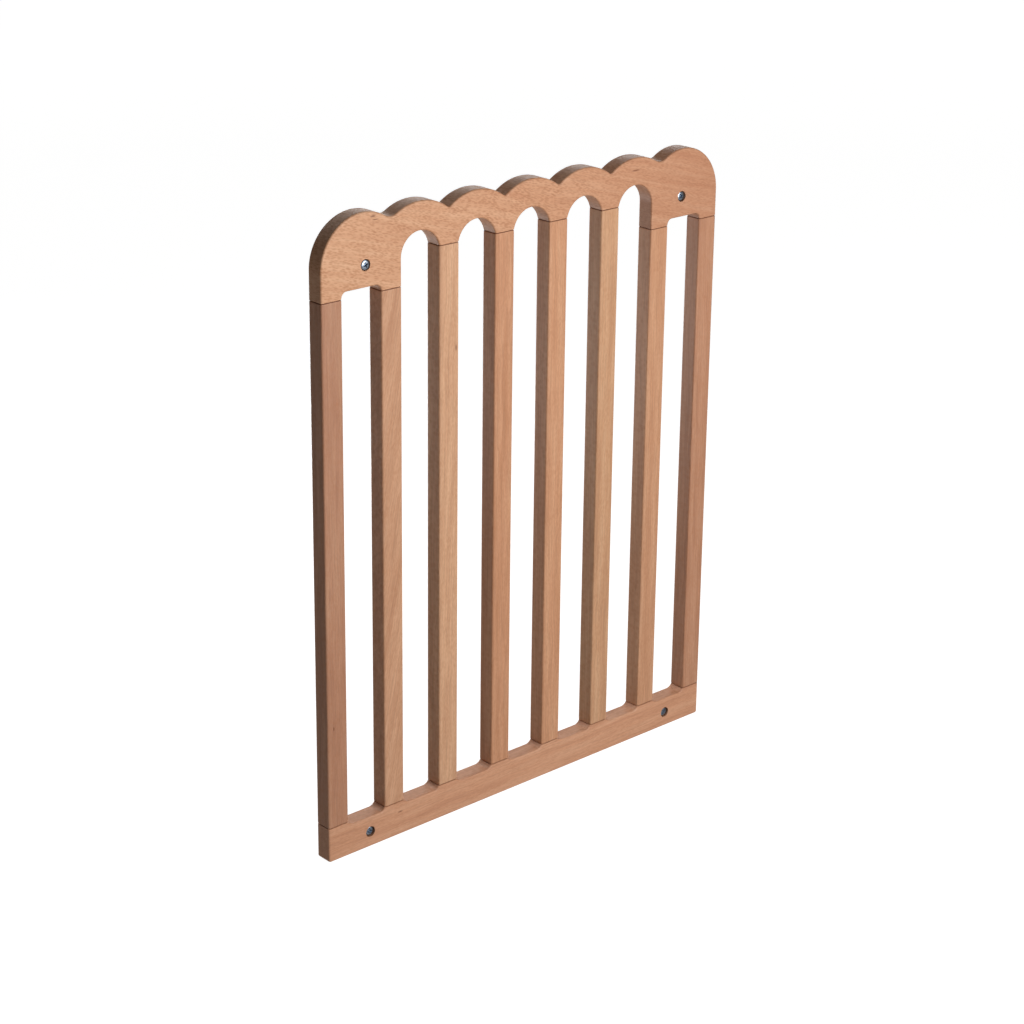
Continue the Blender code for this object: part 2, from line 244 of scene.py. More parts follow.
def board_from_runs(name, runs):
    """A moulded board. Each run lies between two slat joints. A quarter-round edge profile is carried
    along the runs: at angle t it stands r*(1 - sin t) inside the outline and r*(1 - cos t) from the
    face. Across the joint faces the profile is square, so they stay flat with round corners."""
    places, inward, rounding = [], [], []
    for i, run in enumerate(runs):
        before, after = runs[i - 1], runs[(i + 1) % len(runs)]
        tangent = np.gradient(run, axis=0)
        tangent /= np.linalg.norm(tangent, axis=1)[:, None]
        normal = np.stack([tangent[:, 1], -tangent[:, 0]], axis=1)
        across = np.array([np.sign(after[0][0] - run[-1][0]), 0.0])
        normal[0] = (np.sign(before[-1][0] - run[0][0]), 0.0)
        normal[-1] = across
        joint_face = np.stack([run[-1] + EDGE_RADIUS * across, after[0] - EDGE_RADIUS * across])
        places += [run, joint_face]
        inward += [normal, np.zeros((2, 2))]
        rounding += [np.ones(len(run)), np.zeros(2)]
    places, inward, rounding = map(np.concatenate, (places, inward, rounding))
    turn = np.linspace(0.0, pi / 2, 9)
    inset = EDGE_RADIUS * (1 - np.sin(turn))
    depth = EDGE_RADIUS * (1 - np.cos(turn))
    inset = np.concatenate([inset, inset[::-1]])
    level = np.concatenate([FRONT_Y + depth, REAR_Y - depth[::-1]])
    flat = places[None] + inward[None] * rounding[None, :, None] * inset[:, None, None]
    level = np.broadcast_to(level[:, None], flat.shape[:2])
    return grid_mesh(name, np.stack([flat[..., 0], level, flat[..., 1]], axis=-1))


def slat_bar(name, box):
    """A straight bar: a rectangle with quarter-round corners carried from the low to the high end. At
    both ends it stands e*(1 - sin t) inside its outline at e*(1 - cos t) from the end, so that the
    end's edges are quarter rounds too."""
    low, high = box
    middle = [(low[i] + high[i]) / 2 for i in (0, 1)]
    half = [(high[i] - low[i]) / 2 - EDGE_RADIUS for i in (0, 1)]
    turn = np.linspace(0.0, pi / 2, 9)
    bend = np.linspace(0.0, pi / 2, 5)
    inset, rise = JOINT_EASING * (1 - np.sin(bend)), JOINT_EASING * (1 - np.cos(bend))
    between = np.linspace(low[2] + JOINT_EASING, high[2] - JOINT_EASING, 8)[1:-1]
    heights = np.concatenate([low[2] + rise, between, high[2] - rise[::-1]])
    radius = EDGE_RADIUS - np.concatenate([inset, 0 * between, inset[::-1]])
    quarter = np.stack([np.cos(turn), np.sin(turn)], axis=1) * radius[:, None, None] + half
    section = []
    for sx, sy, order in ((1, 1, 1), (-1, 1, -1), (-1, -1, 1), (1, -1, -1)):
        section.append((quarter * (sx, sy))[:, ::order])
    ring = np.concatenate(section, axis=1) + middle
    level = np.broadcast_to(heights[:, None, None], (*ring.shape[:2], 1))
    return grid_mesh(name, np.concatenate([ring, level], axis=-1))


def turned_points(radii, heights, centre, axis, columns):
    """Points at centre + height * axis + radius * (u cos a + v sin a), for angles a round the axis.
    The radii are one a row, or a grid with one for each row and angle."""
    angles = np.linspace(0.0, 2 * pi, columns, endpoint=False)
    axis = np.array(axis, dtype=float)
    u = np.array((1.0, 0.0, 0.0))
    v = np.cross(axis, u)
    radii = np.asarray(radii, dtype=float)
    radii = radii[:, None] if radii.ndim == 1 else radii
    ring = np.cos(angles)[None, :, None] * u + np.sin(angles)[None, :, None] * v
    return np.array(centre) + np.asarray(heights)[:, None, None] * axis + radii[..., None] * ring


def peg_cutter(name, centre, axis, radius, start, end):
    """A plain peg along an axis, which drills a hole of its own radius."""
    return grid_mesh(name, turned_points([radius, radius], [start, end], centre, axis, 48))


def apply_modifiers(obj):
    """Puts the modifiers' result into the object's own mesh."""
    depsgraph = bpy.context.evaluated_depsgraph_get()
    mesh = bpy.data.meshes.new_from_object(obj.evaluated_get(depsgraph))
    obj.modifiers.clear()
    obj.data = mesh


def drill(obj, cutters):
    """Cuts every peg out of the piece, then removes the pegs."""
    for cutter in cutters:
        modifier = obj.modifiers.new("hole", "BOOLEAN")
        modifier.operation = "DIFFERENCE"
        modifier.solver = "EXACT"
        modifier.object = cutter
    apply_modifiers(obj)
    for cutter in cutters:
        bpy.data.objects.remove(cutter, do_unlink=True)


def smooth(obj, sharp_angle):
    """Smooth shading with edges steeper than the angle left crisp."""
    obj.data.shade_smooth()
    obj.data.set_sharp_from_angle(angle=sharp_angle)


def ease_and_smooth(obj):
    """Breaks the square edges at joints and hole mouths, and lets the large flats set the shading."""
    easing = obj.modifiers.new("easing", "BEVEL")
    easing.limit_method = "ANGLE"
    easing.angle_limit = radians(50)
    easing.width = EASING
    easing.segments = 2
    apply_modifiers(obj)
    smooth(obj, radians(38))
    weighting = obj.modifiers.new("flat_faces_rule", "WEIGHTED_NORMAL")
    weighting.mode = "FACE_AREA"
    weighting.keep_sharp = True


# Materials


def linear(hex_colour):
    """An sRGB hex colour as linear red, green, blue and alpha."""
    channels = [int(hex_colour[i:i + 2], 16) / 255 for i in (1, 3, 5)]
    return [c / 12.92 if c <= 0.04045 else ((c + 0.055) / 1.055) ** 2.4 for c in channels] + [1.0]


def add(tree, kind, inputs=None, stops=None, **settings):
    """Adds one node: settings are its own properties, inputs are values or sockets to link, and stops
    are a colour ramp's places and colours."""
    node = tree.nodes.new(kind)
    for key, value in settings.items():
        setattr(node, key, value)
    for key, value in (inputs or {}).items():
        if isinstance(value, bpy.types.NodeSocket):
            tree.links.new(value, node.inputs[key])
        else:
            node.inputs[key].default_value = value
    if stops:
        elements = node.color_ramp.elements
        while len(elements) < len(stops):
            elements.new(1.0)
        for element, (place, colour) in zip(elements, stops):
            element.position = place
            element.color = linear(colour) if isinstance(colour, str) else (colour, colour, colour, 1.0)
    return node


def new_tree(name):
    """A new material and its empty node tree."""
    material = bpy.data.materials.new(name)
    material.use_nodes = True
    material.node_tree.nodes.clear()
    return material, material.node_tree


def surface(material, shader):
    """Links the shader to the material's output."""
    add(material.node_tree, "ShaderNodeOutputMaterial", {"Surface": shader.outputs[0]})
    return material


def beech(name, upright, place, pale, mid, dark, flecks=1.0, streaks=1.0, lean=0.0, marks=(), ends=(),
          bores=(), redder=None):
    """Steamed beech, planed, sanded and oiled to a satin: a warm pinkish brown with faint growth lines,
    fine fibres and short brown ray flecks that lie along the grain. Patterns are in millimetres, with
    the grain along X, the trunk's radius along Y and the board's width along Z. place shifts the
    pattern, so that no two boards are cut from the same wood, and lean tilts the grain a little.
    marks are small dark knots, each a centre in millimetres, a length and a width. ends are the heights
    of joints, in metres, each with the strength of a darker line 1 mm wide drawn there. bores are the x
    and z of the counterbores, inside which shade is painted. redder is what the colour is multiplied by
    at the board's right-hand end, the colour darkening and reddening evenly from the left end to there."""
    material, tree = new_tree(name)
    where = add(tree, "ShaderNodeTexCoord")
    grain = add(tree, "ShaderNodeMapping", {
        "Vector": where.outputs["Object"],
        "Location": place,
        "Rotation": (0.0, (pi / 2 if upright else 0.0) + lean, 0.0),
        "Scale": (1000.0, 1000.0, 1000.0),
    })
    # The trunk isn't straight: lines wander by a few millimetres over a hand's width
    slow = add(tree, "ShaderNodeVectorMath", {0: grain.outputs[0], 1: (1 / 95, 1 / 34, 1 / 34)},
               operation="MULTIPLY")
    wander = add(tree, "ShaderNodeTexNoise", {"Vector": slow.outputs[0], "Scale": 1.0, "Detail": 2.0})
    sway = add(tree, "ShaderNodeVectorMath", {0: wander.outputs["Color"], 1: (0.0, 11.0, 9.0),
                                              2: grain.outputs[0]}, operation="MULTIPLY_ADD")
    # Growth rings: cylinders round a pith some 60 mm behind the face, 3.4 mm apart
    from_pith = add(tree, "ShaderNodeVectorMath", {0: sway.outputs[0], 1: (0.0, 1.0, 1.0),
                                                   2: (0.0, 60.0, 4.0)}, operation="MULTIPLY_ADD")
    radius = add(tree, "ShaderNodeVectorMath", {0: from_pith.outputs[0]}, operation="LENGTH")
    rings = add(tree, "ShaderNodeMath", {0: radius.outputs["Value"], 1: 1 / 3.4}, operation="MULTIPLY")
    within = add(tree, "ShaderNodeMath", {0: rings.outputs[0]}, operation="FRACT")
    late = add(tree, "ShaderNodeValToRGB", {"Fac": within.outputs[0]},
               stops=[(0.0, 0.0), (0.55, 0.12), (0.86, 0.62), (0.93, 1.0), (1.0, 0.0)])
    ring_amount = add(tree, "ShaderNodeMath", {0: late.outputs["Color"], 1: 0.22 * streaks},
                      operation="MULTIPLY")
    # Broad streaks of paler and browner wood, 6 to 12 mm wide
    streak_at = add(tree, "ShaderNodeVectorMath", {0: sway.outputs[0], 1: (1 / 190, 1 / 8, 1 / 8)},
                    operation="MULTIPLY")
    streak = add(tree, "ShaderNodeTexNoise", {"Vector": streak_at.outputs[0], "Scale": 1.0,
                                              "Detail": 3.0, "Roughness": 0.55})
    tone = add(tree, "ShaderNodeValToRGB", {"Fac": streak.outputs["Fac"]},
               stops=[(0.30, dark), (0.50, mid), (0.72, pale)])
    # Pore lines: 1.4 mm apart and 70 mm long, wider than real rows of pores so that they show
    pore_at = add(tree, "ShaderNodeVectorMath", {0: sway.outputs[0], 1: (1 / 70, 1 / 1.4, 1 / 1.4)},
                  operation="MULTIPLY")
    pores = add(tree, "ShaderNodeTexNoise", {"Vector": pore_at.outputs[0], "Scale": 1.0,
                                             "Detail": 2.0, "Roughness": 0.5})
    pore_amount = add(tree, "ShaderNodeMapRange", {"Value": pores.outputs["Fac"], "From Min": 0.47,
                                                   "From Max": 0.70, "To Min": 0.0,
                                                   "To Max": 0.30 * streaks})
    # Fibres: hair-fine lines of 0.6 by 14 mm, drawn coarser than real ones so that they show
    fibre_at = add(tree, "ShaderNodeVectorMath", {0: sway.outputs[0], 1: (1 / 14, 1 / 0.6, 1 / 0.6)},
                   operation="MULTIPLY")
    fibre = add(tree, "ShaderNodeTexNoise", {"Vector": fibre_at.outputs[0], "Scale": 1.0,
                                             "Detail": 3.0, "Roughness": 0.6})
    fibre_amount = add(tree, "ShaderNodeMapRange", {"Value": fibre.outputs["Fac"], "From Min": 0.45,
                                                    "From Max": 0.75, "To Min": 0.0, "To Max": 0.24})
    # Ray flecks: dense lens shapes of 5 by 1.2 mm on the face and wider flakes on the edges, twice the
    # real width so that they show, and fainter in some patches than in others
    ray_at = add(tree, "ShaderNodeVectorMath", {0: sway.outputs[0], 1: (1 / 5.5, 1 / 6, 1 / 1.5)},
                 operation="MULTIPLY")
    ray = add(tree, "ShaderNodeTexVoronoi", {"Vector": ray_at.outputs[0], "Scale": 1.0,
                                             "Randomness": 1.0}, feature="F1")
    lens = add(tree, "ShaderNodeMapRange", {"Value": ray.outputs["Distance"], "From Min": 0.20,
                                            "From Max": 0.70, "To Min": 1.0, "To Max": 0.0},
               interpolation_type="SMOOTHSTEP")
    patch_at = add(tree, "ShaderNodeVectorMath", {0: grain.outputs[0], 1: (1 / 22, 1 / 12, 1 / 9)},
                   operation="MULTIPLY")
    patch = add(tree, "ShaderNodeTexNoise", {"Vector": patch_at.outputs[0], "Scale": 1.0, "Detail": 1.0})
    depth = add(tree, "ShaderNodeMapRange", {"Value": patch.outputs["Fac"], "From Min": 0.35,
                                             "From Max": 0.65, "To Min": 0.24 * flecks,
                                             "To Max": 0.46 * flecks})
    fleck = add(tree, "ShaderNodeMath", {0: lens.outputs[0], 1: depth.outputs[0]}, operation="MULTIPLY")
    spot = add(tree, "ShaderNodeSeparateXYZ", {0: where.outputs["Object"]})
    if redder:
        # The flecks fade towards the heart, where the board is cut nearer to the rings' own direction
        fading = add(tree, "ShaderNodeMapRange", {"Value": spot.outputs["X"], "From Min": 0.0,
                                                  "From Max": RIGHT_X, "To Min": 1.0, "To Max": 0.5})
        fleck = add(tree, "ShaderNodeMath", {0: fleck.outputs[0], 1: fading.outputs[0]},
                    operation="MULTIPLY")
    shade = [0.60 * dark_part for dark_part in linear(dark)[:3]] + [1.0]
    ringed = add(tree, "ShaderNodeMix", {0: ring_amount.outputs[0], 6: tone.outputs["Color"], 7: shade},
                 data_type="RGBA")
    pored = add(tree, "ShaderNodeMix", {0: pore_amount.outputs[0], 6: ringed.outputs[2], 7: shade},
                data_type="RGBA")
    fibred = add(tree, "ShaderNodeMix", {0: fibre_amount.outputs[0], 6: pored.outputs[2], 7: shade},
                 data_type="RGBA")
    colour = add(tree, "ShaderNodeMix", {0: fleck.outputs[0], 6: fibred.outputs[2],
                                         7: linear("#a6683d")}, data_type="RGBA")
    # End grain soaks up more oil, so it is darker
    along = (0.0, 0.0, 1.0) if upright else (1.0, 0.0, 0.0)
    facing = add(tree, "ShaderNodeVectorMath", {0: where.outputs["Normal"], 1: along},
                 operation="DOT_PRODUCT")
    square = add(tree, "ShaderNodeMath", {0: facing.outputs["Value"]}, operation="ABSOLUTE")
    soaked = add(tree, "ShaderNodeMapRange", {"Value": square.outputs[0], "From Min": 0.75,
                                              "From Max": 1.0, "To Min": 0.0, "To Max": 0.32})
    colour = add(tree, "ShaderNodeMix", {0: soaked.outputs[0], 6: colour.outputs[2], 7: shade},
                 data_type="RGBA")
    # The colour grows evenly darker and redder from the board's left end to its right
    if redder:
        towards_right_end = add(tree, "ShaderNodeMapRange", {"Value": spot.outputs["X"], "From Min": LEFT_X,
                                                     "From Max": RIGHT_X})
        colour = add(tree, "ShaderNodeMix", {0: towards_right_end.outputs[0], 6: colour.outputs[2],
                                             7: (*redder, 1.0)}, data_type="RGBA", blend_type="MULTIPLY")
    # Small dark knots and mineral streaks, each an ellipse with a soft rim
    for x, y, z, length, width in marks:
        size = (width, width, length) if upright else (length, width, width)
        offset = add(tree, "ShaderNodeVectorMath", {0: where.outputs["Object"],
                                                    1: (x / 1000, y / 1000, z / 1000)},
                     operation="SUBTRACT")
        spread = add(tree, "ShaderNodeVectorMath", {0: offset.outputs[0],
                                                    1: tuple(2000 / s for s in size)},
                     operation="MULTIPLY")
        reach = add(tree, "ShaderNodeVectorMath", {0: spread.outputs[0]}, operation="LENGTH")
        knot = add(tree, "ShaderNodeMapRange", {"Value": reach.outputs["Value"], "From Min": 0.35,
                                                "From Max": 1.2, "To Min": 0.66, "To Max": 0.0},
                   interpolation_type="SMOOTHSTEP")
        colour = add(tree, "ShaderNodeMix", {0: knot.outputs[0], 6: colour.outputs[2],
                                             7: linear("#6b3c25")}, data_type="RGBA")
    # A darker line 1 mm wide at the height of each joint, along the groove between slat and rail
    for level, strength in ends:
        gap = add(tree, "ShaderNodeMath", {0: spot.outputs["Z"], 1: level, 2: 0.0010},
                  operation="COMPARE")
        dim = add(tree, "ShaderNodeMath", {0: gap.outputs[0], 1: strength}, operation="MULTIPLY")
        colour = add(tree, "ShaderNodeMix", {0: dim.outputs[0], 6: colour.outputs[2],
                                             7: linear("#6e412b")}, data_type="RGBA")
    # Painted shade inside the counterbores: their walls and floors are darkened towards a brown, standing
    # in for the shade of the recess
    for x, z in bores:
        flat = add(tree, "ShaderNodeVectorMath", {0: where.outputs["Object"], 1: (1.0, 0.0, 1.0),
                                                  2: (-x, 0.0, -z)}, operation="MULTIPLY_ADD")
        off_axis = add(tree, "ShaderNodeVectorMath", {0: flat.outputs[0]}, operation="LENGTH")
        near = add(tree, "ShaderNodeMath", {0: off_axis.outputs["Value"], 1: COUNTERBORE_RADIUS + 0.0004},
                   operation="LESS_THAN")
        inside = add(tree, "ShaderNodeMath", {0: spot.outputs["Y"], 1: FRONT_Y + 0.0045, 2: 0.0037},
                     operation="COMPARE")
        painted_bore_shade = add(tree, "ShaderNodeMath", {0: near.outputs[0], 1: inside.outputs[0]},
                   operation="MULTIPLY")
        colour = add(tree, "ShaderNodeMix", {0: painted_bore_shade.outputs[0], 6: colour.outputs[2],
                                             7: linear("#94674c")}, data_type="RGBA")
    # The fibres are duller than the hard wood between them, and stand up by a few hundredths of a mm
    sheen = add(tree, "ShaderNodeMapRange", {"Value": fibre.outputs["Fac"], "From Min": 0.3,
                                             "From Max": 0.8, "To Min": 0.42, "To Max": 0.56})
    relief = add(tree, "ShaderNodeBump", {"Height": fibre.outputs["Fac"], "Strength": 0.35,
                                          "Distance": 0.00006})
    shader = add(tree, "ShaderNodeBsdfPrincipled", {
        "Base Color": colour.outputs[2],
        "Roughness": sheen.outputs[0],
        "Normal": relief.outputs[0],
        "IOR": 1.5,
        "Specular IOR Level": 0.35,
        "Coat Weight": 0.05,
        "Coat Roughness": 0.35,
    })
    return surface(material, shader)


def bright_zinc(name, tint):
    """Steel with a bright zinc plate and a thin blue passivate: a cool grey metal, smooth but a little
    clouded, with fine scuffs from the driver bit."""
    material, tree = new_tree(name)
    where = add(tree, "ShaderNodeTexCoord")
    cloud = add(tree, "ShaderNodeTexNoise", {"Vector": where.outputs["Object"], "Scale": 900.0,
                                             "Detail": 3.0})
    gloss = add(tree, "ShaderNodeMapRange", {"Value": cloud.outputs["Fac"], "From Min": 0.3,
                                             "From Max": 0.7, "To Min": 0.29, "To Max": 0.40})
    plate = add(tree, "ShaderNodeValToRGB", {"Fac": cloud.outputs["Fac"]},
                stops=[(0.3, tint), (0.7, "#aeb9c6")])
    scuffs = add(tree, "ShaderNodeTexNoise", {"Vector": where.outputs["Object"], "Scale": 4200.0,
                                              "Detail": 2.0})
    relief = add(tree, "ShaderNodeBump", {"Height": scuffs.outputs["Fac"], "Strength": 0.3,
                                          "Distance": 0.00001})
    shader = add(tree, "ShaderNodeBsdfPrincipled", {
        "Base Color": plate.outputs["Color"],
        "Metallic": 1.0,
        "Roughness": gloss.outputs[0],
        "Normal": relief.outputs[0],
    })
    return surface(material, shader)


# Pieces


def place_piece(obj, node, body, material):
    """Gives a finished piece its material, hangs it on its body and hides its CAD node."""
    obj.data.materials.clear()
    obj.data.materials.append(material)
    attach(obj, body)
    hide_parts(node)


def dowel_holes(ends, slats=range(1, SLATS + 1)):
    """A peg round every dowel at the given ends of the given slats, with a hair of room all round."""
    pegs = []
    for node in [f"dowel_{end}_{i}{side}" for end in ends for i in slats for side in "ab"]:
        low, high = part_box(node)
        centre = ((low[0] + high[0]) / 2, (low[1] + high[1]) / 2, 0.0)
        reach = (low[2] - JOINT_GAP, high[2] + JOINT_GAP)
        pegs.append(peg_cutter("peg", centre, (0, 0, 1), DOWEL_HOLE_RADIUS, *reach))
    return pegs


def screw_axis(corner):
    """The x and z of a screw, from its washer."""
    low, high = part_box("washer_" + corner)
    return (low[0] + high[0]) / 2, (low[2] + high[2]) / 2


def screw_holes(corners):
    """A flat-bottomed counterbore from the front and a clearance hole right through, for each corner."""
    pegs = []
    for corner in corners:
        x, z = screw_axis(corner)
        mouth = (x, FRONT_Y, z)
        pegs.append(peg_cutter("peg", mouth, (0, 1, 0), COUNTERBORE_RADIUS, -0.002, COUNTERBORE_DEPTH))
        pegs.append(peg_cutter("peg", mouth, (0, 1, 0), CLEARANCE_RADIUS, 0.005, 0.030))
    return pegs


# Dark marks in the wood, as x, y, z, length and width in millimetres
TOP_MARKS = ((161.7, -11, 735.1, 15, 2.3), (-229.5, -11, 743.6, 8, 2.6), (-226, -11, 739.5, 9, 1.6))
BASE_MARKS = ((-195.8, -11, 29.4, 8, 2.4), (118, 11, 12, 9, 1.8))
SLAT_MARKS = {2: ((-112.8, -11, 575.1, 9, 2.6),), 0: ((-291.2, -11, 165.3, 6, 2.0),),
              5: ((136, 11, 402, 12, 2.2),)}


def make_rails():
    """The scalloped top rail and the straight bottom rail, each with its holes."""
    top_runs = [scalloped_run()] + [top_bay_run(i) for i in reversed(range(BAYS))]
    top = board_from_runs("top_rail_board", top_runs)
    drill(top, dowel_holes(["top"]) + screw_holes(CORNERS[:2]))
    ease_and_smooth(top)
    wood = beech("steamed_beech_top_rail", False, (40.0, 12.0, -700.0), "#e2b28d", "#dba781", "#d29c77",
                 1.2, 0.45, radians(-15), TOP_MARKS, bores=[screw_axis(c) for c in CORNERS[:2]],
                 redder=(0.75, 0.67, 0.67))
    place_piece(top, "top_rail", "panel", wood)

    base_runs = [base_bay_run(i) for i in range(BAYS)] + [base_outer_run()]
    base = board_from_runs("bottom_rail_board", base_runs)
    drill(base, dowel_holes(["bottom"]) + screw_holes(CORNERS[2:]))
    ease_and_smooth(base)
    wood = beech("steamed_beech_bottom_rail", False, (900.0, -8.0, 30.0), "#daa786", "#d29b79", "#c68e6e",
                 0.5, 0.8, marks=BASE_MARKS, bores=[screw_axis(c) for c in CORNERS[2:]])
    place_piece(base, "bottom_rail", "panel", wood)


# Each slat is cut from its own plank: where in the wood, then its pale, middle and dark tones
SLAT_WOODS = (
    ((120, 31, 5), "#c39375", "#bb886b", "#b07d61"),
    ((610, -12, -9), "#d8a886", "#cd9b79", "#c18e6d"),
    ((1150, 44, 14), "#deb18d", "#d5a581", "#c99876"),
    ((1730, 7, -22), "#d5a27e", "#cb9471", "#c08864"),
    ((2260, -35, 3), "#d7a581", "#cf9975", "#c48d69"),
    ((2890, 19, 27), "#d3a783", "#cc9c77", "#bf8f6c"),
    ((3400, -3, -16), "#d4a380", "#cb9774", "#c08b69"),
    ((3950, 52, 11), "#c69577", "#bd8a6c", "#b27e61"),
)

# How far the grain of each slat leans, in radians
SLAT_LEANS = (0.0, -0.2, -0.03, 0.0, 0.012, -0.02, 0.0, 0.01)


def make_slats():
    """Eight bars, each from its own plank, with dowel holes in both ends."""
    for i, (box, (place, pale, mid, dark)) in enumerate(zip(SLAT_BOXES, SLAT_WOODS)):
        node = f"slat_{i + 1}"
        bar = slat_bar(node + "_bar", box)
        drill(bar, dowel_holes(("top", "bottom"), [i + 1]))
        ease_and_smooth(bar)
        ends = ((box[1][2], 0.70), (box[0][2], 0.30))
        wood = beech(f"steamed_beech_{node}", True, place, pale, mid, dark, 0.6, 1.0, SLAT_LEANS[i],
                     SLAT_MARKS.get(i, ()), ends)
        place_piece(bar, node, "panel", wood)


def make_dowels():
    """Fluted pegs: at height h and angle a the radius is R less 0.16 mm * cos(flutes * a) where that
    is positive, and both ends taper by a 0.7 mm chamfer. A band of flat runs round each end."""
    wood = beech("raw_beech_dowels", True, (77.0, 5.0, 9.0), "#e2bd97", "#d8b08a", "#c99d78", 0.5)
    nodes = [f"dowel_{end}_{i + 1}{side}"
             for end in ("top", "bottom") for i in range(SLATS) for side in "ab"]
    columns = FLUTES * 6
    angles = np.linspace(0.0, 2 * pi, columns, endpoint=False)
    groove = FLUTE_DEPTH * np.clip(np.cos(FLUTES * angles), 0.0, None)
    for node in nodes:
        low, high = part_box(node)
        centre = ((low[0] + high[0]) / 2, (low[1] + high[1]) / 2, 0.0)
        steps = np.array([0.0, 0.00025, DOWEL_CHAMFER, 0.0018, 0.0026])
        heights = np.concatenate([low[2] + steps, high[2] - steps[::-1]])
        shrink = DOWEL_CHAMFER * np.array([1.0, 0.55, 0.0, 0.0, 0.0])
        shrink = np.concatenate([shrink, shrink[::-1]])
        depth = np.array([0.2, 0.5, 1.0, 1.0, 1.0])
        depth = np.concatenate([depth, depth[::-1]])
        radii = DOWEL_RADIUS - shrink[:, None] - depth[:, None] * groove[None]
        peg = grid_mesh(node + "_fluted", turned_points(radii, heights, centre, (0, 0, 1), columns))
        smooth(peg, radians(35))
        place_piece(peg, node, "panel", wood)


def cross_cutter(centre, turn):
    """A plus-shaped peg that narrows evenly from the driver's span at the crown to 0.45 of it at the
    bottom of the recess, with its corners set on a plus outline of four arms."""
    arm, half = RECESS_SPAN / 2, RECESS_WIDTH / 2
    quarter = np.array([(arm, -half), (arm, half), (half * 1.25, half * 1.25)])
    plus = []
    for k in range(4):
        c, s = cos(turn + k * pi / 2), sin(turn + k * pi / 2)
        plus.append(quarter @ np.array([(c, s), (-s, c)]))
    plus = np.concatenate(plus)
    depths = np.array([-0.0010, 0.0, 0.5 * RECESS_DEPTH, RECESS_DEPTH])
    scale = 1 - (1 - RECESS_TAPER) * depths / RECESS_DEPTH
    flat = plus[None] * scale[:, None, None]
    level = np.broadcast_to(depths[:, None], flat.shape[:2])
    points = np.stack([flat[..., 0], level, flat[..., 1]], axis=-1) + np.array(centre)
    return grid_mesh("driver_recess", points)


def make_screw(corner, metal):
    """A pan-head machine screw, M6 by 40 mm. Head: radius R * cos(t)^0.53 and height H * sin(t)^0.53,
    for t from 0 at the seat to a quarter turn at the crown. Shank: radius 3 mm less a V-shaped groove
    whose depth follows the fraction of (height / pitch - angle / full turn)."""
    node = "screw_" + corner
    low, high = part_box(node)
    x, z = screw_axis(corner)
    crown_y, tip_y = low[1], high[1]
    seat_y = crown_y + HEAD_HEIGHT
    columns = 48
    t = np.linspace(pi / 2, 0.0, 26)
    head_radii = HEAD_RADIUS * np.clip(np.cos(t), 0.0, 1.0) ** HEAD_DOMING
    head_radii[0] = 0.0
    head_heights = seat_y - 0.0002 - (HEAD_HEIGHT - 0.0002) * np.sin(t) ** HEAD_DOMING
    rim = np.array([HEAD_RADIUS - 0.0001, HEAD_RADIUS - 0.0003, SHANK_RADIUS + 0.0003, SHANK_RADIUS])
    rim_heights = seat_y + np.array([-0.0001, 0.0, 0.0, 0.0003])
    rows = np.arange(seat_y + 0.0006, tip_y, THREAD_PITCH / 12)
    angles = np.linspace(0.0, 2 * pi, columns, endpoint=False)
    phase = np.mod((rows[:, None] - seat_y) / THREAD_PITCH - angles[None] / (2 * pi), 1.0)
    groove = np.clip(1.16 * (1 - np.abs(2 * phase - 1)) - 0.08, 0.0, 1.0)
    run_out = np.clip((rows - seat_y - 0.0015) / 0.002, 0.0, 1.0)
    thread = SHANK_RADIUS - THREAD_DEPTH * groove * run_out[:, None]
    taper = SHANK_RADIUS - np.clip(rows - (tip_y - TIP_CHAMFER), 0.0, None)
    thread = np.minimum(thread, taper[:, None])
    end_radii = np.array([SHANK_RADIUS - TIP_CHAMFER, 0.0])
    plain = np.concatenate([head_radii, rim])[:, None] * np.ones((1, columns))
    ends = end_radii[:, None] * np.ones((1, columns))
    radii = np.concatenate([plain, thread, ends])
    heights = np.concatenate([head_heights, rim_heights, rows, [tip_y, tip_y]])
    points = turned_points(radii, heights, (x, 0.0, z), (0, 1, 0), columns)
    screw = grid_mesh(node + "_threaded", points, caps=False)
    drill(screw, [cross_cutter((x, crown_y, z), radians(SCREW_TURNS[corner]))])
    smooth(screw, radians(32))
    place_piece(screw, node, node, metal)


def make_washer(corner, metal):
    """A plain washer: a flat ring carried round the screw, its corners eased by 0.25 mm arcs."""
    node = "washer_" + corner
    low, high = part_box(node)
    x, z = screw_axis(corner)
    inner, outer, ease = WASHER_HOLE_RADIUS, WASHER_RADIUS, WASHER_EASING
    turn = np.linspace(0.0, pi / 2, 5)
    bend = np.stack([np.sin(turn), 1 - np.cos(turn)], axis=1) * ease
    top_out = np.stack([outer - ease + bend[:, 0], low[1] + bend[:, 1]], axis=1)
    low_out = np.stack([outer - bend[:, 1], high[1] - ease + bend[:, 0]], axis=1)
    ring = np.concatenate([[(inner, low[1] + 0.0001), (inner + 0.0001, low[1])], top_out, low_out,
                           [(inner + 0.0001, high[1]), (inner, high[1] - 0.0001)]])
    points = turned_points(ring[:, 0], ring[:, 1], (x, 0.0, z), (0, 1, 0), 72)
    washer = grid_mesh(node + "_ring", points, wrap_rows=True, caps=False)
    smooth(washer, radians(40))
    place_piece(washer, node, node, metal)


def make_fasteners():
    """A screw and its washer at each corner."""
    screw_metal = bright_zinc("bright_zinc_screw", "#93a1b2")
    washer_metal = bright_zinc("bright_zinc_washer", "#a9b3bf")
    for corner in CORNERS:
        make_screw(corner, screw_metal)
        make_washer(corner, washer_metal)


# Studio


